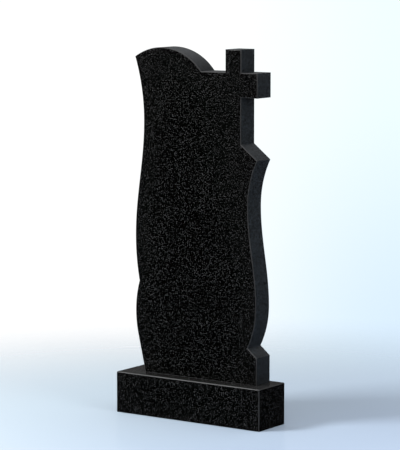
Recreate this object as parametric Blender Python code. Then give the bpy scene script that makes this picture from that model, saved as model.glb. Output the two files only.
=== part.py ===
# Headstone: an upright slab with an arched top, wavy sides and a cross cut out of its upper right
# corner, standing on a rectangular plinth.
# Metres, +Z up, the front faces -Y. The origin is the centre of the plinth's underside.

import math

import bmesh
import bpy

# Plinth
PLINTH_WIDTH = 0.708
PLINTH_DEPTH = 0.190
PLINTH_HEIGHT = 0.171
PLINTH_CHAMFER = 0.003

# Stele: the upright slab
STELE_WIDTH = 0.600
STELE_HEIGHT = 1.346
STELE_THICKNESS = 0.100
STELE_CHAMFER = 0.003
FRONT_LEDGE = 0.063       # plinth top left free in front of the stele
BED_GAP = 0.0003          # between the plinth's top and the stele's underside

# Arch at the top left
CROWN_INSET = 0.136       # from the left edge to the crown of the arch
TIP_DROP = 0.0406         # from the crown down to the pointed tip on the left edge

# Cross at the top right
UPRIGHT_WIDTH = 0.076
ARM_REACH = 0.078         # from the upright to the right edge
ARM_DROP = 0.0915         # from the stele's top to the arm and to the floor of the notch beside the cross
ARM_DEPTH = 0.100
BAY_HEIGHT = 0.187        # open space under the arm, measured at the upright
SHOULDER_FALL = 0.061     # how far the shoulder drops on its way out to the right edge

# Left side, from the tip down. The stretches share out the height between the tip and the foot,
# and the insets are measured from the left edge.
LEFT_HOLLOW_RUN = 0.260
LEFT_BULGE_RUN = 0.479
LEFT_KINK_RUN = 0.187
LEFT_BELLY_RUN = 0.124
LEFT_TURN_RUN = 0.096
LEFT_TAPER_RUN = 0.159
LEFT_HOLLOW_INSET = 0.0435
LEFT_KINK_INSET = 0.0185
LEFT_TURN_INSET = 0.0106
LEFT_FOOT_INSET = 0.047

# Right side, from the shoulder's tip down, in the same way
RIGHT_HOLLOW_RUN = 0.1865
RIGHT_BULGE_RUN = 0.408
RIGHT_NOTCH_RUN = 0.164
RIGHT_SLANT_RUN = 0.037
RIGHT_FOOT_RUN = 0.111
RIGHT_HOLLOW_INSET = 0.0445
RIGHT_BULGE_INSET = 0.004
RIGHT_NOTCH_INSET = 0.044

CURVE_STEP = 0.018        # longest straight piece of a curved edge

# Finish
GRANITE_COLOUR = (0.010, 0.010, 0.011, 1.0)
GRANITE_ROUGHNESS = 0.18


def clear_scene():
    for item in list(bpy.data.objects):
        bpy.data.objects.remove(item, do_unlink=True)


def granite(name):
    material = bpy.data.materials.new(name)
    material.use_nodes = True
    shader = material.node_tree.nodes["Principled BSDF"]
    shader.inputs["Base Color"].default_value = GRANITE_COLOUR
    shader.inputs["Roughness"].default_value = GRANITE_ROUGHNESS
    shader.inputs["Metallic"].default_value = 0.0
    material.diffuse_color = GRANITE_COLOUR
    return material


def steps_for(length):
    return max(2, math.ceil(length / CURVE_STEP))


def wave(start, end):
    # Half a cosine wave between two turning points of a side, upright at both ends.
    (x0, z0), (x1, z1) = start, end
    count = steps_for(math.hypot(x1 - x0, z1 - z0))
    points = []
    for step in range(1, count + 1):
        share = step / count
        swing = (1 - math.cos(math.pi * share)) / 2
        points.append((x0 + (x1 - x0) * swing, z0 + (z1 - z0) * share))
    return points


def sweep(turning_point, corner):
    # Circular arc that is upright at a turning point of a side and ends at a corner.
    (x0, z0), (x1, z1) = turning_point, corner
    across = x1 - x0
    along = z1 - z0
    radius = (across ** 2 + along ** 2) / (2 * abs(across))
    full_angle = math.asin(abs(along) / radius)
    count = steps_for(radius * full_angle)
    points = []
    for step in range(1, count + 1):
        angle = full_angle * step / count
        x = x0 + math.copysign(radius * (1 - math.cos(angle)), across)
        z = z0 + math.copysign(radius * math.sin(angle), along)
        points.append((x, z))
    return points


def reversed_sweep(corner, turning_point):
    # The same arc, walked from the corner to the turning point.
    points = sweep(turning_point, corner)
    return points[-2::-1] + [turning_point]


def arch(crown, radius, left_angle, right_angle):
    # Arc over the crown, from the tip on the left to the notch floor on the right.
    count = steps_for(radius * (left_angle + right_angle))
    points = []
    for step in range(count + 1):
        angle = -left_angle + (left_angle + right_angle) * step / count
        points.append((crown[0] + radius * math.sin(angle), crown[1] - radius * (1 - math.cos(angle))))
    return points


def heights_below(top, runs):
    # Heights reached after each stretch, when the stretches fill the height from the top to zero.
    scale = top / sum(runs)
    heights = []
    for run in runs:
        top -= run * scale
        heights.append(top)
    return heights


def right_side(right):
    # From the notch floor over the cross and down to the foot.
    upright_right = right - ARM_REACH
    upright_left = upright_right - UPRIGHT_WIDTH
    arm_top = STELE_HEIGHT - ARM_DROP
    arm_bottom = arm_top - ARM_DEPTH
    shoulder_root = arm_bottom - BAY_HEIGHT
    shoulder_tip = (right, shoulder_root - SHOULDER_FALL)
    runs = (RIGHT_HOLLOW_RUN, RIGHT_BULGE_RUN, RIGHT_NOTCH_RUN, RIGHT_SLANT_RUN, RIGHT_FOOT_RUN)
    hollow_z, bulge_z, notch_z, foot_top, foot = heights_below(shoulder_tip[1], runs)
    hollow = (right - RIGHT_HOLLOW_INSET, hollow_z)
    bulge = (right - RIGHT_BULGE_INSET, bulge_z)
    notch = (right - RIGHT_NOTCH_INSET, notch_z)
    points = [(upright_left, arm_top), (upright_left, STELE_HEIGHT)]
    points += [(upright_right, STELE_HEIGHT), (upright_right, arm_top)]
    points += [(right, arm_top), (right, arm_bottom), (upright_right, arm_bottom)]
    points += [(upright_right, shoulder_root), shoulder_tip]
    points += reversed_sweep(shoulder_tip, hollow)
    points += wave(hollow, bulge)
    points += sweep(bulge, notch)
    points += [(right, foot_top), (right, foot)]
    return points


def left_side(left, tip_height):
    # From the foot up to just below the tip.
    runs = (LEFT_HOLLOW_RUN, LEFT_BULGE_RUN, LEFT_KINK_RUN, LEFT_BELLY_RUN, LEFT_TURN_RUN, LEFT_TAPER_RUN)
    hollow_z, bulge_z, kink_z, belly_z, turn_z, foot_z = heights_below(tip_height, runs)
    hollow = (left + LEFT_HOLLOW_INSET, hollow_z)
    bulge = (left, bulge_z)
    kink = (left + LEFT_KINK_INSET, kink_z)
    belly = (left, belly_z)
    turn = (left + LEFT_TURN_INSET, turn_z)
    foot = (left + LEFT_FOOT_INSET, foot_z)
    points = [foot, turn]
    points += reversed_sweep(turn, belly)
    points += sweep(belly, kink)
    points += reversed_sweep(kink, bulge)
    points += wave(bulge, hollow)
    points += sweep(hollow, (left, tip_height))
    return points[:-1]


def stele_outline():
    # Seen from the front, clockwise from the left tip. Heights start at the stele's underside.
    left = -STELE_WIDTH / 2
    right = STELE_WIDTH / 2
    radius = (CROWN_INSET ** 2 + TIP_DROP ** 2) / (2 * TIP_DROP)
    left_angle = math.asin(CROWN_INSET / radius)
    right_angle = math.acos(1 - ARM_DROP / radius)
    points = arch((left + CROWN_INSET, STELE_HEIGHT), radius, left_angle, right_angle)
    points += right_side(right)
    points += left_side(left, STELE_HEIGHT - TIP_DROP)
    return points


def add_object(name, bm, material):
    bmesh.ops.recalc_face_normals(bm, faces=bm.faces[:])
    mesh = bpy.data.meshes.new(name)
    bm.to_mesh(mesh)
    bm.free()
    mesh.materials.append(material)
    item = bpy.data.objects.new(name, mesh)
    bpy.context.scene.collection.objects.link(item)
    return item


def build_plinth():
    bm = bmesh.new()
    bmesh.ops.create_cube(bm, size=1.0)
    bmesh.ops.scale(bm, vec=(PLINTH_WIDTH, PLINTH_DEPTH, PLINTH_HEIGHT), verts=bm.verts)
    bmesh.ops.translate(bm, vec=(0, 0, PLINTH_HEIGHT / 2), verts=bm.verts)
    # The top edges and the four corners are chamfered, and the underside keeps its full size.
    edges = [edge for edge in bm.edges if max(vert.co.z for vert in edge.verts) > PLINTH_HEIGHT / 2]
    bmesh.ops.bevel(bm, geom=edges, offset=PLINTH_CHAMFER, offset_type="OFFSET", segments=1,
                    profile=0.5, affect="EDGES", clamp_overlap=True)
    return add_object("plinth", bm, granite("plinth_granite"))


def build_stele():
    front = -PLINTH_DEPTH / 2 + FRONT_LEDGE
    base = PLINTH_HEIGHT + BED_GAP
    bm = bmesh.new()
    # The slab is drawn without its chamfers, and each large face is then set in and pushed out by one.
    verts = [bm.verts.new((x, front + STELE_CHAMFER, base + z)) for x, z in stele_outline()]
    front_face = bm.faces.new(verts)
    extruded = bmesh.ops.extrude_face_region(bm, geom=[front_face], use_keep_orig=True)
    back_verts = [part for part in extruded["geom"] if isinstance(part, bmesh.types.BMVert)]
    bmesh.ops.translate(bm, vec=(0, STELE_THICKNESS - 2 * STELE_CHAMFER, 0), verts=back_verts)
    bmesh.ops.recalc_face_normals(bm, faces=bm.faces[:])
    large_faces = [face for face in bm.faces if len(face.verts) > 4]
    for face in large_faces:
        bmesh.ops.inset_region(bm, faces=[face], thickness=STELE_CHAMFER, depth=STELE_CHAMFER,
                               use_even_offset=True)
    return add_object("stele", bm, granite("stele_granite"))


clear_scene()
build_plinth()
build_stele()
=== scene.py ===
import math

import bpy
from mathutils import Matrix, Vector


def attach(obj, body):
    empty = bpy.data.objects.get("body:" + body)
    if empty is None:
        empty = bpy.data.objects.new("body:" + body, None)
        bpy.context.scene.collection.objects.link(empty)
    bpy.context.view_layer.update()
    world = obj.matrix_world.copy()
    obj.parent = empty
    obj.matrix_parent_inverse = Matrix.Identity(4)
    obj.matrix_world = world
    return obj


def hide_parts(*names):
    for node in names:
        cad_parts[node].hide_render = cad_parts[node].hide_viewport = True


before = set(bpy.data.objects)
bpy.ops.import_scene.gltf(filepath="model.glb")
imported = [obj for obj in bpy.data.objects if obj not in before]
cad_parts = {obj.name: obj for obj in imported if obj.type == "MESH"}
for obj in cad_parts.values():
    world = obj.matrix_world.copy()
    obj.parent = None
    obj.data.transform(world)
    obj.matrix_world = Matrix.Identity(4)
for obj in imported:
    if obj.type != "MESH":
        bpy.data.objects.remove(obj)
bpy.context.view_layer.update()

print("frame loaded with", len(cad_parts), "stones")


# Small helpers for node trees

def feed(tree, socket, value):  # a value is either another node's output or a plain value
    if isinstance(value, bpy.types.NodeSocket):
        tree.links.new(value, socket)
    else:
        socket.default_value = value


def addNode(tree, kind, inputs=None, **settings):
    node = tree.nodes.new(kind)
    for name, value in settings.items():
        setattr(node, name, value)
    for name, value in (inputs or {}).items():
        feed(tree, node.inputs[name], value)
    return node


def calc(tree, operation, *values):
    return addNode(tree, "ShaderNodeMath", dict(enumerate(values)), operation=operation).outputs[0]


def calcVector(tree, operation, first, second):
    node = addNode(tree, "ShaderNodeVectorMath", {0: first, 1: second}, operation=operation)
    return node.outputs["Value" if operation == "DOT_PRODUCT" else "Vector"]


def scaleVector(tree, vector, factor):
    node = addNode(tree, "ShaderNodeVectorMath", {0: vector, "Scale": factor}, operation="SCALE")
    return node.outputs["Vector"]


def mapRange(tree, value, source, target=(0.0, 1.0), blend="SMOOTHSTEP"):
    names = ("Value", "From Min", "From Max", "To Min", "To Max")
    inputs = dict(zip(names, (value, *source, *target)))
    return addNode(tree, "ShaderNodeMapRange", inputs, interpolation_type=blend).outputs["Result"]


def rampNode(tree, value, stops):
    ramp = addNode(tree, "ShaderNodeValToRGB", {"Fac": value})
    elements = ramp.color_ramp.elements
    while len(elements) < len(stops):
        elements.new(0.5)
    for element, (position, level) in zip(elements, stops):
        element.position = position
        element.color = (level, level, level, 1.0)
    return ramp.outputs["Color"]


def mixColours(tree, share, first, second):
    node = addNode(tree, "ShaderNodeMix", {"Factor": share, 6: first, 7: second}, data_type="RGBA")
    return node.outputs[2]      # colours go in at 6 and 7, and come out at 2


def mixShaders(tree, share, first, second):
    node = addNode(tree, "ShaderNodeMixShader", {"Fac": share, 1: first, 2: second})
    return node.outputs["Shader"]


# Stone materials

graniteGrain = {                    # what the three kinds of polished granite share
    "crystalSize": 0.0034,          # metres between crystals
    "crystalSpot": (0.20, 0.50),    # core and rim of a crystal, as shares of that
    "crystalRarity": 2.5,           # higher for fewer pale crystals
    "crystalRoughness": 0.05,       # how much rougher the palest crystals are
    "fineSize": 0.0011,
    "fineStretch": (1.0, 1.0, 0.6),
    "fineLevels": [(0.0, 0.0), (0.60, 0.05), (1.0, 1.0)],
    "cloudScale": 9.0,
    "cloudDetail": 3.0,
    "cloudRange": (0.3, 0.7),
    "cloudShade": (0.85, 1.15),     # darkest and lightest parts of the clouds in the stone
    "bumpStrength": 0.10,
    "bumpHeight": 0.00002,
}
polishLook = {
    **graniteGrain,
    "darkStone": 0.0006,
    "paleCrystal": 0.082,
    "fineCrystal": 0.0010,
    "roughness": 0.06,
    "tint": (1.0, 1.0, 1.0),
}
paintedLitLedgeLook = {                       # the plinth's top, a little duller, and painted lighter to stand in for light from above
    **graniteGrain,
    # painted light: far lighter than the faces' dark stone, for the light that falls on the top
    "darkStone": 0.018,
    "paleCrystal": 0.085,
    "fineCrystal": 0.0010,
    "roughness": 0.12,
    "tint": (1.0, 1.0, 1.0),
}
# The arrises are painted lighter and bluer than the stone, a painted highlight along the chamfers.
arrisPaintedHighlightLook = {
    **graniteGrain,
    "darkStone": 0.024,
    "paleCrystal": 0.044,
    "fineCrystal": 0.010,
    "roughness": 0.36,
    "tint": (0.98, 1.0, 1.03),
}
honedLook = {
    "grainSize": 0.0016,
    "grainDetail": 2.0,
    "grainRange": (0.25, 0.75),
    "grainStrength": 0.35,
    "crystalSize": 0.0046,
    "crystalStrength": 1.7,
    "base": (0.0144, 0.0178, 0.0214),
    "roughness": 0.40,
    "bumpStrength": 0.3,
    "bumpHeight": 0.0001,
}


def startMaterial(name):
    material = bpy.data.materials.new(name)
    material.use_nodes = True
    tree = material.node_tree
    shader = tree.nodes["Principled BSDF"]
    shader.inputs["Metallic"].default_value = 0.0
    coordinates = addNode(tree, "ShaderNodeTexCoord").outputs["Object"]
    return material, tree, shader, coordinates


def crystalField(tree, coordinates, size, stretch=(1.0, 1.0, 1.0)):
    # A random number for each crystal, and the distance from its middle.
    mapping = addNode(tree, "ShaderNodeMapping", {"Scale": stretch, "Vector": coordinates})
    cells = addNode(tree, "ShaderNodeTexVoronoi",
                    {"Scale": 1.0 / size, "Vector": mapping.outputs["Vector"]},
                    voronoi_dimensions="3D", feature="F1")
    split = addNode(tree, "ShaderNodeSeparateColor", {"Color": cells.outputs["Color"]})
    return split.outputs["Red"], cells.outputs["Distance"]


def noiseField(tree, coordinates, scale, detail):
    inputs = {"Scale": scale, "Detail": detail, "Vector": coordinates}
    return addNode(tree, "ShaderNodeTexNoise", inputs, noise_dimensions="3D").outputs["Fac"]


def bumpNormal(tree, height, look):
    inputs = {"Strength": look["bumpStrength"], "Distance": look["bumpHeight"], "Height": height}
    return addNode(tree, "ShaderNodeBump", inputs).outputs["Normal"]


def graniteMaterial(name, look):
    material, tree, shader, coordinates = startMaterial(name)
    # Coarse crystals, most of them dark, and finer ones between them.
    chance, distance = crystalField(tree, coordinates, look["crystalSize"])
    fineChance, fineDistance = crystalField(tree, coordinates, look["fineSize"], look["fineStretch"])
    spot = mapRange(tree, distance, look["crystalSpot"], (1.0, 0.0))
    coarse = calc(tree, "MULTIPLY", calc(tree, "POWER", chance, look["crystalRarity"]), spot)
    fine = rampNode(tree, fineChance, look["fineLevels"])
    cloud = noiseField(tree, coordinates, look["cloudScale"], look["cloudDetail"])
    shade = mapRange(tree, cloud, look["cloudRange"], look["cloudShade"], "LINEAR")
    level = calc(tree, "MULTIPLY_ADD", coarse, look["paleCrystal"], look["darkStone"])
    level = calc(tree, "MULTIPLY_ADD", fine, look["fineCrystal"], level)
    level = calc(tree, "MULTIPLY", level, shade)
    roughness = calc(tree, "MULTIPLY_ADD", coarse, look["crystalRoughness"], look["roughness"])
    feed(tree, shader.inputs["Base Color"], scaleVector(tree, look["tint"], level))
    feed(tree, shader.inputs["Roughness"], roughness)
    feed(tree, shader.inputs["Normal"], bumpNormal(tree, fineDistance, look))
    return material


def honedMaterial(name, look):
    material, tree, shader, coordinates = startMaterial(name)
    grain = noiseField(tree, coordinates, 1.0 / look["grainSize"], look["grainDetail"])
    swing = (1.0 - look["grainStrength"], 1.0 + look["grainStrength"])
    shade = mapRange(tree, grain, look["grainRange"], swing, "LINEAR")
    chance = crystalField(tree, coordinates, look["crystalSize"])[0]
    offMean = calc(tree, "SUBTRACT", chance, 0.5)
    faint = calc(tree, "MULTIPLY_ADD", offMean, look["crystalStrength"], 1.0)
    level = calc(tree, "MULTIPLY", shade, faint)
    feed(tree, shader.inputs["Base Color"], scaleVector(tree, look["base"], level))
    shader.inputs["Roughness"].default_value = look["roughness"]
    feed(tree, shader.inputs["Normal"], bumpNormal(tree, grain, look))
    return material


polishedStone = graniteMaterial("polishedStone", polishLook)
# The ledge material is painted lighter for light from above; the arris material carries a painted highlight.
paintedLitLedge = graniteMaterial("paintedLitLedge", paintedLitLedgeLook)
paintedHighlightArris = graniteMaterial("paintedHighlightArris", arrisPaintedHighlightLook)
honedEdge = honedMaterial("honedEdge", honedLook)
print("stone materials made")


# The tree that makes a stone from its outline

finishNumbers = {"Face Material": 0.0, "Arris Material": 1.0, "Edge Material": 2.0}
weldReach = 0.00002               # metres, closes the seams between the edge band and the large faces
sharpAngle = math.radians(25)     # edges that turn more than this are shaded sharp
borderShare = 0.2                 # an edge whose mean finish is this far from a whole number is a border


def addSocket(tree, name, kind, direction="INPUT"):
    tree.interface.new_socket(name, in_out=direction, socket_type="NodeSocket" + kind)


def namedAttribute(tree, name, kind):
    node = addNode(tree, "GeometryNodeInputNamedAttribute", {"Name": name}, data_type=kind)
    return node.outputs["Attribute"]


def stoneTree():
    # A slab over a closed outline in the XY plane. Its edge profile is swept round the outline,
    # and each point's own inward attribute says which way, and how fast, the arris takes it in.
    tree = bpy.data.node_groups.new("stoneFromOutline", "GeometryNodeTree")
    addSocket(tree, "Outline", "Geometry")
    for name in ("Thickness", "Front Arris", "Back Arris", "Arris Round"):
        addSocket(tree, name, "Float")
    addSocket(tree, "Arris Steps", "Int")
    addSocket(tree, "Turn", "Rotation")
    addSocket(tree, "Place", "Vector")
    for name in finishNumbers:
        addSocket(tree, name, "Material")
    addSocket(tree, "Stone", "Geometry", "OUTPUT")
    start = addNode(tree, "NodeGroupInput").outputs
    outline = start["Outline"]
    thickness = start["Thickness"]
    steps = start["Arris Steps"]
    index = addNode(tree, "GeometryNodeInputIndex").outputs["Index"]
    here = addNode(tree, "GeometryNodeInputPosition").outputs["Position"]
    inward = namedAttribute(tree, "inward", "FLOAT_VECTOR")
    corner = namedAttribute(tree, "corner", "FLOAT")
    size = addNode(tree, "GeometryNodeAttributeDomainSize", {"Geometry": outline}, component="MESH")
    pointCount = size.outputs["Point Count"]

    def between(first, second, share):
        return calc(tree, "MULTIPLY_ADD", share, calc(tree, "SUBTRACT", second, first), first)

    def splitIndex(perColumn):  # column and row of a point or face of the grid
        column = calc(tree, "FLOOR", calc(tree, "DIVIDE", calc(tree, "ADD", index, 0.5), perColumn))
        return column, calc(tree, "SUBTRACT", index, calc(tree, "MULTIPLY", column, perColumn))

    def sampled(value, kind, point):  # a value of the outline, at the point of that number
        inputs = {"Geometry": outline, "Value": value, "Index": calc(tree, "MODULO", point, pointCount)}
        node = addNode(tree, "GeometryNodeSampleIndex", inputs, data_type=kind, domain="POINT")
        return node.outputs["Value"]

    def finished(geometry, number):  # notes on each face which material it gets; the arris one carries a painted highlight
        inputs = {"Geometry": geometry, "Name": "finish", "Value": number}
        node = addNode(tree, "GeometryNodeStoreNamedAttribute", inputs, data_type="FLOAT", domain="FACE")
        return node.outputs["Geometry"]

    # Edge band: rows 0 to steps go round the front arris, the rest round the back one.
    lastRow = calc(tree, "MULTIPLY_ADD", steps, 2.0, 1.0)
    rows = calc(tree, "ADD", lastRow, 1.0)
    columns = calc(tree, "ADD", pointCount, 1.0)
    grid = addNode(tree, "GeometryNodeMeshGrid", {"Vertices X": columns, "Vertices Y": rows})
    column, row = splitIndex(rows)
    isBack = calc(tree, "GREATER_THAN", row, calc(tree, "ADD", steps, 0.5))
    nearRow = calc(tree, "MINIMUM", row, calc(tree, "SUBTRACT", lastRow, row))
    share = calc(tree, "DIVIDE", nearRow, steps)
    remainder = calc(tree, "SUBTRACT", 1.0, share)
    angle = calc(tree, "MULTIPLY", share, math.pi / 2)
    arris = between(start["Front Arris"], start["Back Arris"], isBack)
    # The arris lies between a flat chamfer and a quarter round.
    across = between(share, calc(tree, "SINE", angle), start["Arris Round"])
    down = between(remainder, calc(tree, "COSINE", angle), start["Arris Round"])
    inset = calc(tree, "MULTIPLY", arris, calc(tree, "SUBTRACT", 1.0, across))
    depth = calc(tree, "MULTIPLY", arris, calc(tree, "SUBTRACT", 1.0, down))
    height = between(calc(tree, "SUBTRACT", thickness, depth), depth, isBack)
    lift = addNode(tree, "ShaderNodeCombineXYZ", {"Z": height}).outputs["Vector"]
    taken = scaleVector(tree, sampled(inward, "FLOAT_VECTOR", column), inset)
    place = calcVector(tree, "ADD", sampled(here, "FLOAT_VECTOR", column), taken)
    band = addNode(tree, "GeometryNodeSetPosition",
                   {"Geometry": grid.outputs["Mesh"], "Position": calcVector(tree, "ADD", place, lift)})
    faceColumn, faceRow = splitIndex(lastRow)
    isEdge = calc(tree, "GREATER_THAN", faceRow, calc(tree, "SUBTRACT", steps, 0.5))  # the rear arris too
    isPlain = calc(tree, "SUBTRACT", 1.0, sampled(corner, "FLOAT", faceColumn))
    # Front arris faces and cut corners take the arris material, a painted highlight; the rear arris takes
    # the edge material.
    parts = [finished(band.outputs["Geometry"], calc(tree, "MULTIPLY_ADD", isEdge, isPlain, 1.0))]

    # The two large faces, filled inside the arrises.
    for arrisName, level in (("Front Arris", thickness), ("Back Arris", 0.0)):
        offset = scaleVector(tree, inward, start[arrisName])
        ring = addNode(tree, "GeometryNodeSetPosition", {"Geometry": outline, "Offset": offset})
        curve = addNode(tree, "GeometryNodeMeshToCurve", {"Mesh": ring.outputs["Geometry"]})
        fill = addNode(tree, "GeometryNodeFillCurve", {"Curve": curve.outputs["Curve"]}, mode="NGONS")
        raised = addNode(tree, "ShaderNodeCombineXYZ", {"Z": level})
        moved = addNode(tree, "GeometryNodeTransform",
                        {"Geometry": fill.outputs["Mesh"], "Translation": raised.outputs["Vector"]})
        face = moved.outputs["Geometry"]
        if arrisName == "Back Arris":
            face = addNode(tree, "GeometryNodeFlipFaces", {"Mesh": face}).outputs["Mesh"]
        parts.append(finished(face, finishNumbers["Face Material"]))

    joined = addNode(tree, "GeometryNodeJoinGeometry")
    for part in parts:
        feed(tree, joined.inputs["Geometry"], part)
    merged = addNode(tree, "GeometryNodeMergeByDistance",
                     {"Geometry": joined.outputs["Geometry"], "Distance": weldReach})
    stood = addNode(tree, "GeometryNodeTransform",
                    {"Geometry": merged.outputs["Geometry"], "Rotation": start["Turn"],
                     "Translation": start["Place"]})

    # Large faces stay flat. The band is smooth apart from its real corners and where two finishes meet.
    finish = namedAttribute(tree, "finish", "FLOAT")
    isBand = calc(tree, "GREATER_THAN", finish, 0.5)
    smooth = addNode(tree, "GeometryNodeSetShadeSmooth",
                     {"Geometry": stood.outputs["Geometry"], "Shade Smooth": isBand}, domain="FACE")
    edgeAngle = addNode(tree, "GeometryNodeInputMeshEdgeAngle").outputs["Unsigned Angle"]
    offWhole = calc(tree, "ABSOLUTE", calc(tree, "SUBTRACT", finish, calc(tree, "ROUND", finish)))
    isSharp = calc(tree, "GREATER_THAN", edgeAngle, sharpAngle)
    isBorder = calc(tree, "GREATER_THAN", offWhole, borderShare)
    corners = addNode(tree, "GeometryNodeSetShadeSmooth",
                      {"Geometry": smooth.outputs["Geometry"], "Shade Smooth": False,
                       "Selection": calc(tree, "MAXIMUM", isSharp, isBorder)}, domain="EDGE")
    real = addNode(tree, "GeometryNodeRealizeInstances", {"Geometry": corners.outputs["Geometry"]})
    result = real.outputs["Geometry"]
    for name, number in finishNumbers.items():
        chosen = calc(tree, "COMPARE", finish, number, 0.5)
        dressed = addNode(tree, "GeometryNodeSetMaterial",
                          {"Geometry": result, "Selection": chosen, "Material": start[name]})
        result = dressed.outputs["Geometry"]
    addNode(tree, "NodeGroupOutput", {"Stone": result})
    return tree


def makeStone(name, outline, tree, values):
    places, inwards, cuts = zip(*outline)
    wire = bpy.data.meshes.new(name + "Outline")
    edges = [(number, (number + 1) % len(places)) for number in range(len(places))]
    wire.from_pydata([(*place, 0.0) for place in places], edges, [])
    for attribute, kind in (("inward", "FLOAT_VECTOR"), ("corner", "FLOAT")):
        wire.attributes.new(attribute, kind, "POINT")
    for number, (inward, isCut) in enumerate(zip(inwards, cuts)):
        wire.attributes["inward"].data[number].vector = (*inward, 0.0)
        wire.attributes["corner"].data[number].value = float(isCut)
    piece = bpy.data.objects.new(name, wire)
    bpy.context.scene.collection.objects.link(piece)
    modifier = piece.modifiers.new("stone", "NODES")
    modifier.node_group = tree
    sockets = {item.name: item.identifier for item in tree.interface.items_tree if item.in_out == "INPUT"}
    for socketName, value in values.items():
        modifier[sockets[socketName]] = value
    evaluated = piece.evaluated_get(bpy.context.evaluated_depsgraph_get())
    solid = bpy.data.meshes.new_from_object(evaluated)
    piece.modifiers.remove(modifier)
    piece.data = solid
    solid.name = name
    while None in solid.materials[:]:
        solid.materials.pop(index=solid.materials[:].index(None))
    for spent in ("inward", "corner", "finish"):
        if spent in solid.attributes:
            solid.attributes.remove(solid.attributes[spent])
    bpy.data.meshes.remove(wire)
    return piece


# Outlines

tinyLength = 0.00001         # metres, taken as none
tinyTurn = 0.001             # sine of a turn that is taken as straight
longestCut = 0.45            # most that a rounded corner takes from the shorter of its two edges


def stepsFor(length, step):
    return max(2, math.ceil(length / step))


def waveBetween(start, end, step):
    # Half a cosine wave between two turning points of a side, upright at both ends.
    (x0, z0), (x1, z1) = start, end
    count = stepsFor(math.hypot(x1 - x0, z1 - z0), step)
    points = []
    for number in range(1, count + 1):
        share = number / count
        swing = (1 - math.cos(math.pi * share)) / 2
        points.append((x0 + (x1 - x0) * swing, z0 + (z1 - z0) * share))
    return points


def sweepTo(turningPoint, corner, step):
    # Circular arc that is upright at a turning point of a side and ends at a corner.
    (x0, z0), (x1, z1) = turningPoint, corner
    across, along = x1 - x0, z1 - z0
    radius = (across ** 2 + along ** 2) / (2 * abs(across))
    fullAngle = math.asin(abs(along) / radius)
    count = stepsFor(radius * fullAngle, step)
    points = []
    for number in range(1, count + 1):
        angle = fullAngle * number / count
        x = x0 + math.copysign(radius * (1 - math.cos(angle)), across)
        z = z0 + math.copysign(radius * math.sin(angle), along)
        points.append((x, z))
    return points


def sweepFrom(corner, turningPoint, step):
    points = sweepTo(turningPoint, corner, step)
    return points[-2::-1] + [turningPoint]


def heightsBelow(top, runs):
    # Heights reached after each stretch, when the stretches fill the height from the top to zero.
    scale = top / sum(runs)
    heights = []
    for run in runs:
        top -= run * scale
        heights.append(top)
    return heights


def mitreAt(before, after, shareBefore, shareAfter):
    # How a corner moves when the edges on its two sides move inwards by those shares.
    facing = [Vector((-edge.y, edge.x)).normalized() for edge in (before, after)]
    turn = facing[0].x * facing[1].y - facing[0].y * facing[1].x
    if abs(turn) < tinyTurn:
        return -(facing[0] + facing[1]) * (shareBefore + shareAfter) / (2 * (1 + facing[0].dot(facing[1])))
    x = shareBefore * facing[1].y - shareAfter * facing[0].y
    y = shareAfter * facing[0].x - shareBefore * facing[1].x
    return -Vector((x, y)) / turn


def dressOutline(points, sizes):
    # Gives each point of a clockwise outline its inward direction, and cuts or rounds outer corners.
    points = [Vector(point) for point in points]
    steps = sizes["cornerSteps"]
    dressed = []
    for number, point in enumerate(points):
        before = point - points[number - 1]
        after = points[(number + 1) % len(points)] - point
        onFoot = sizes["squareFoot"] and point.y < tinyLength      # the underside keeps its full thickness
        shares = [0.0 if onFoot and abs(edge.y) < tinyLength else 1.0 for edge in (before, after)]
        inward = mitreAt(before, after, *shares)
        turn = before.angle(after)
        isOuter = before.x * after.y - before.y * after.x < 0
        if turn < sizes["sharpest"] or not isOuter:
            dressed.append((point, inward, False))
            continue
        longest = longestCut * min(before.length, after.length)
        reach = min(sizes["cornerRound"] * math.tan(turn / 2), longest)
        radius = reach / math.tan(turn / 2)
        towardsCentre = (after.normalized() - before.normalized()).normalized()
        centre = point + towardsCentre * (radius / math.cos(turn / 2))
        first = point - before.normalized() * reach - centre
        for step in range(steps + 1):
            angle = -turn * step / steps
            place = centre + Vector((first.x * math.cos(angle) - first.y * math.sin(angle),
                                     first.x * math.sin(angle) + first.y * math.cos(angle)))
            # corner faces marked here take the arris material and its painted highlight
            isCut = sizes["paintedHighlightCorners"] and step < steps
            dressed.append((place, (point - place) / sizes["arris"] + inward, isCut))
    return dressed


# Plinth

plinthSizes = {
    "width": 0.708,
    "depth": 0.190,
    "height": 0.171,
    "arris": 0.003,           # chamfer round the top, made bright by the arris material's painted highlight
    "footArris": 0.0006,
    "arrisRound": 0.25,       # 0 for a flat chamfer, 1 for a quarter round
    "arrisSteps": 3,
    "cornerRound": 0.003,
    "cornerSteps": 1,
    # the plinth's upright corners take the arris material and its painted highlight
    "paintedHighlightCorners": True,
    "squareFoot": False,
    "sharpest": math.radians(25),     # outer corners that turn more than this are cut or rounded
}


def plinthOutline(sizes):
    x, y = sizes["width"] / 2, sizes["depth"] / 2
    corners = [(-x, y), (x, y), (x, -y), (-x, -y)]
    return dressOutline(corners, sizes)


stoneNodes = stoneTree()
plinth = makeStone("plinthStone", plinthOutline(plinthSizes), stoneNodes, {
    "Thickness": plinthSizes["height"],
    "Front Arris": plinthSizes["arris"],
    "Back Arris": plinthSizes["footArris"],
    "Arris Round": plinthSizes["arrisRound"],
    "Arris Steps": plinthSizes["arrisSteps"],
    "Face Material": paintedLitLedge,
    "Edge Material": polishedStone,
    "Arris Material": paintedHighlightArris,
})
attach(plinth, "root")
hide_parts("plinth")
print("plinth made:", len(plinth.data.polygons), "faces")


# Stele

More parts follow.
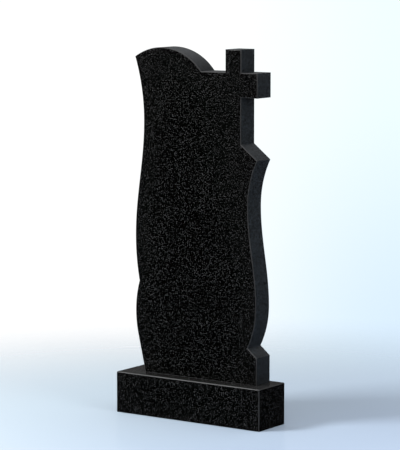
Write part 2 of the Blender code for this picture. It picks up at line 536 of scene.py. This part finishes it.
steleSizes = {
    "width": 0.600,
    "height": 1.346,
    "thickness": 0.100,
    "frontLedge": 0.063,      # plinth top left free in front
    "bedGap": 0.0003,
    "crownInset": 0.136,      # arch at the top left
    "tipDrop": 0.0406,
    "uprightWidth": 0.076,    # cross at the top right
    "armReach": 0.078,
    "armDrop": 0.0915,
    "armDepth": 0.100,
    "bayHeight": 0.187,
    "shoulderFall": 0.061,
    "leftRuns": (0.260, 0.479, 0.187, 0.124, 0.096, 0.159),     # stretches from the tip down
    "leftInsets": (0.0435, 0.0, 0.0185, 0.0, 0.0106, 0.047),    # hollow, bulge, kink, belly, turn, foot
    "rightRuns": (0.1865, 0.408, 0.164, 0.037, 0.111),          # from the shoulder down
    "rightInsets": (0.0445, 0.004, 0.044),                      # hollow, bulge, notch
    "curveStep": 0.006,
    "arris": 0.003,
    "arrisRound": 0.25,
    "arrisSteps": 3,
    "cornerRound": 0.0012,
    "cornerSteps": 3,
    "paintedHighlightCorners": False,
    "squareFoot": True,
    "sharpest": math.radians(25),
}


def archPoints(crown, radius, leftAngle, rightAngle, step):
    count = stepsFor(radius * (leftAngle + rightAngle), step)
    points = []
    for number in range(count + 1):
        angle = -leftAngle + (leftAngle + rightAngle) * number / count
        points.append((crown[0] + radius * math.sin(angle), crown[1] - radius * (1 - math.cos(angle))))
    return points


def rightSide(sizes, right):
    step, height = sizes["curveStep"], sizes["height"]
    uprightRight = right - sizes["armReach"]
    uprightLeft = uprightRight - sizes["uprightWidth"]
    armTop = height - sizes["armDrop"]
    armBottom = armTop - sizes["armDepth"]
    shoulderRoot = armBottom - sizes["bayHeight"]
    shoulderTip = (right, shoulderRoot - sizes["shoulderFall"])
    *sideHeights, footTop, foot = heightsBelow(shoulderTip[1], sizes["rightRuns"])
    hollow, bulge, notch = [(right - inset, z) for inset, z in zip(sizes["rightInsets"], sideHeights)]
    points = [(uprightLeft, armTop), (uprightLeft, height), (uprightRight, height)]
    points += [(uprightRight, armTop), (right, armTop), (right, armBottom)]
    points += [(uprightRight, armBottom), (uprightRight, shoulderRoot), shoulderTip]
    points += sweepFrom(shoulderTip, hollow, step)
    points += waveBetween(hollow, bulge, step)
    points += sweepTo(bulge, notch, step)
    points += [(right, footTop), (right, foot)]
    return points


def leftSide(sizes, left, tipHeight):
    step = sizes["curveStep"]
    sideHeights = heightsBelow(tipHeight, sizes["leftRuns"])
    sidePoints = [(left + inset, z) for inset, z in zip(sizes["leftInsets"], sideHeights)]
    hollow, bulge, kink, belly, turn, foot = sidePoints
    points = [foot, turn]
    points += sweepFrom(turn, belly, step)
    points += sweepTo(belly, kink, step)
    points += sweepFrom(kink, bulge, step)
    points += waveBetween(bulge, hollow, step)
    points += sweepTo(hollow, (left, tipHeight), step)
    return points[:-1]


def steleOutline(sizes):
    # Seen from the front, clockwise from the left tip. Heights start at the stele's underside.
    left, right = -sizes["width"] / 2, sizes["width"] / 2
    inset, drop = sizes["crownInset"], sizes["tipDrop"]
    radius = (inset ** 2 + drop ** 2) / (2 * drop)
    crown = (left + inset, sizes["height"])
    leftAngle, rightAngle = math.asin(inset / radius), math.acos(1 - sizes["armDrop"] / radius)
    points = archPoints(crown, radius, leftAngle, rightAngle, sizes["curveStep"])
    points += rightSide(sizes, right)
    points += leftSide(sizes, left, sizes["height"] - drop)
    return dressOutline(points, sizes)


steleFront = -plinthSizes["depth"] / 2 + steleSizes["frontLedge"]
steleBack = steleFront + steleSizes["thickness"]
steleFoot = plinthSizes["height"] + steleSizes["bedGap"]
stele = makeStone("steleSlab", steleOutline(steleSizes), stoneNodes, {
    "Thickness": steleSizes["thickness"],
    "Front Arris": steleSizes["arris"],
    "Back Arris": steleSizes["arris"],
    "Arris Round": steleSizes["arrisRound"],
    "Arris Steps": steleSizes["arrisSteps"],
    "Turn": (math.pi / 2, 0.0, 0.0),      # stands the outline up, its front towards -Y
    "Place": (0.0, steleBack, steleFoot),
    "Face Material": polishedStone,
    "Edge Material": honedEdge,
    "Arris Material": paintedHighlightArris,
})
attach(stele, "root")
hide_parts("stele")
print("stele made:", len(stele.data.polygons), "faces")


# Floor

floorLook = {
    "reach": 9.0,
    "fadeStart": 0.6,
    "fadeEnd": 2.7,
    "paintedShadeSpan": (-1.0, 1.2),          # metres along X, from the left colour to the right one, which is darker as painted shade
    "nearLeft": (0.74, 0.88, 1.0),
    "rightWithPaintedShade": (0.59, 0.73, 0.95),
    "ior": 1.8,
    "roughness": 0.12,
}


def floorMaterial(look):
    material, tree, shader, coordinates = startMaterial("paleFloor")
    split = addNode(tree, "ShaderNodeSeparateXYZ", {"Vector": coordinates})
    # The floor's pale blue is painted darker towards the right, a painted shade.
    across = mapRange(tree, split.outputs["X"], look["paintedShadeSpan"])
    tint = mixColours(tree, across, (*look["nearLeft"], 1.0), (*look["rightWithPaintedShade"], 1.0))
    feed(tree, shader.inputs["Base Color"], tint)
    shader.inputs["Roughness"].default_value = look["roughness"]
    shader.inputs["IOR"].default_value = look["ior"]
    length = addNode(tree, "ShaderNodeVectorMath", {0: coordinates}, operation="LENGTH")
    fade = mapRange(tree, length.outputs["Value"], (look["fadeStart"], look["fadeEnd"]))
    clear = addNode(tree, "ShaderNodeBsdfTransparent")
    mixed = mixShaders(tree, fade, shader.outputs["BSDF"], clear.outputs["BSDF"])
    feed(tree, tree.nodes["Material Output"].inputs["Surface"], mixed)
    return material


def makeFloor(look):
    reach = look["reach"]
    corners = [(-reach, -reach, 0), (reach, -reach, 0), (reach, reach, 0), (-reach, reach, 0)]
    mesh = bpy.data.meshes.new("floor")
    mesh.from_pydata(corners, [], [(0, 1, 2, 3)])
    mesh.materials.append(floorMaterial(look))
    item = bpy.data.objects.new("floor", mesh)
    item.visible_glossy = False
    bpy.context.scene.collection.objects.link(item)
    return item


floor = makeFloor(floorLook)
print("floor made")


# Light and camera

worldLook = {
    "skyLight": (1.0, 1.0, 1.0),
    "skyStrength": 0.72,
    "sheen": 0.40,                     # what the polished faces mirror above the horizon
    "sheenSide": (-0.6, 0.8, 0.0),     # and where it is brightest
    "sheenSpread": (0.55, 0.90),
    "sheenShift": 0.05,                # added to the height, so that the stops start below the horizon
    "sheenByHeight": [(0.03, 0.0), (0.08, 0.85), (0.14, 0.85), (0.21, 0.05), (0.26, 0.05),
                      (0.33, 1.0), (0.75, 0.8)],
    "overhead": 0.8,
    "overheadSpan": (0.55, 0.85),
    "backdropStrength": 1.05,
    "backdropLeft": (1.0, 1.0, 1.0),
    "backdropRight": (0.84, 0.97, 1.0),
    "backdropSide": (0.8223, 0.5691, 0.0),     # towards the right of the picture
    "backdropSpan": (-0.02, 0.10),
    "backdropLow": (0.67, 0.82, 0.97),         # below the horizon, on the right
    "lowSpan": (-0.04, -0.19),
}
softBoxes = [
    {"name": "rightBox", "at": (3.6, -0.4, 2.6), "aim": (0.25, 0.0, 0.7), "size": (1.6, 2.0), "power": 46.0},
    {"name": "leftBox", "at": (-2.5, -3.1, 3.6), "aim": (0.0, 0.0, 0.6), "size": (1.5, 1.5), "power": 236.0},
]
cameraSet = {
    "at": (5.3416, -7.7160, 1.9568),
    "down": 7.037,                     # degrees below the horizon
    "yaw": 34.683,
    "lens": 185.92,
    "sensor": 36.0,
    "farthest": 200.0,
}


def background(tree, colour, strength):
    node = addNode(tree, "ShaderNodeBackground", {"Color": colour, "Strength": strength})
    return node.outputs["Background"]


def makeWorld(look):
    world = bpy.data.worlds.new("studio")
    bpy.context.scene.world = world
    world.use_nodes = True
    tree = world.node_tree
    tree.nodes.clear()
    direction = addNode(tree, "ShaderNodeTexCoord").outputs["Generated"]
    height = addNode(tree, "ShaderNodeSeparateXYZ", {"Vector": direction}).outputs["Z"]
    rays = addNode(tree, "ShaderNodeLightPath").outputs

    # The sky that lights the stones, and what they mirror.
    above = rampNode(tree, calc(tree, "ADD", height, look["sheenShift"]), look["sheenByHeight"])
    facing = calcVector(tree, "DOT_PRODUCT", direction, look["sheenSide"])
    towards = mapRange(tree, facing, look["sheenSpread"])
    glow = calc(tree, "MULTIPLY", calc(tree, "MULTIPLY", above, towards), look["sheen"])
    overhead = mapRange(tree, height, look["overheadSpan"], (0.0, look["overhead"]))
    sky = background(tree, (*look["skyLight"], 1.0), look["skyStrength"])
    sheen = background(tree, (*look["skyLight"], 1.0), calc(tree, "ADD", glow, overhead))

    # The backdrop that the camera sees.
    side = calcVector(tree, "DOT_PRODUCT", direction, look["backdropSide"])
    across = mapRange(tree, side, look["backdropSpan"])
    low = calc(tree, "MULTIPLY", across, mapRange(tree, height, look["lowSpan"]))
    tint = mixColours(tree, across, (*look["backdropLeft"], 1.0), (*look["backdropRight"], 1.0))
    deepened = mixColours(tree, low, tint, (*look["backdropLow"], 1.0))
    backdrop = background(tree, deepened, look["backdropStrength"])

    lit = mixShaders(tree, rays["Is Glossy Ray"], sky, sheen)
    seen = mixShaders(tree, rays["Is Camera Ray"], lit, backdrop)
    addNode(tree, "ShaderNodeOutputWorld", {"Surface": seen})


def makeBox(spec):
    light = bpy.data.lights.new(spec["name"], "AREA")
    light.shape = "RECTANGLE"
    light.size, light.size_y = spec["size"]
    light.energy = spec["power"]
    item = bpy.data.objects.new(spec["name"], light)
    item.location = spec["at"]
    item.rotation_euler = (Vector(spec["aim"]) - Vector(spec["at"])).to_track_quat("-Z", "Y").to_euler()
    bpy.context.scene.collection.objects.link(item)


def makeCamera(spec):
    data = bpy.data.cameras.new("camera")
    data.sensor_width = spec["sensor"]
    data.lens = spec["lens"]
    data.clip_end = spec["farthest"]
    item = bpy.data.objects.new("camera", data)
    item.location = spec["at"]
    item.rotation_euler = (math.radians(90 - spec["down"]), 0.0, math.radians(spec["yaw"]))
    bpy.context.scene.collection.objects.link(item)
    bpy.context.scene.camera = item


makeWorld(worldLook)
for spec in softBoxes:
    makeBox(spec)
makeCamera(cameraSet)
bpy.context.scene.view_settings.view_transform = "Standard"
print("light and camera set")
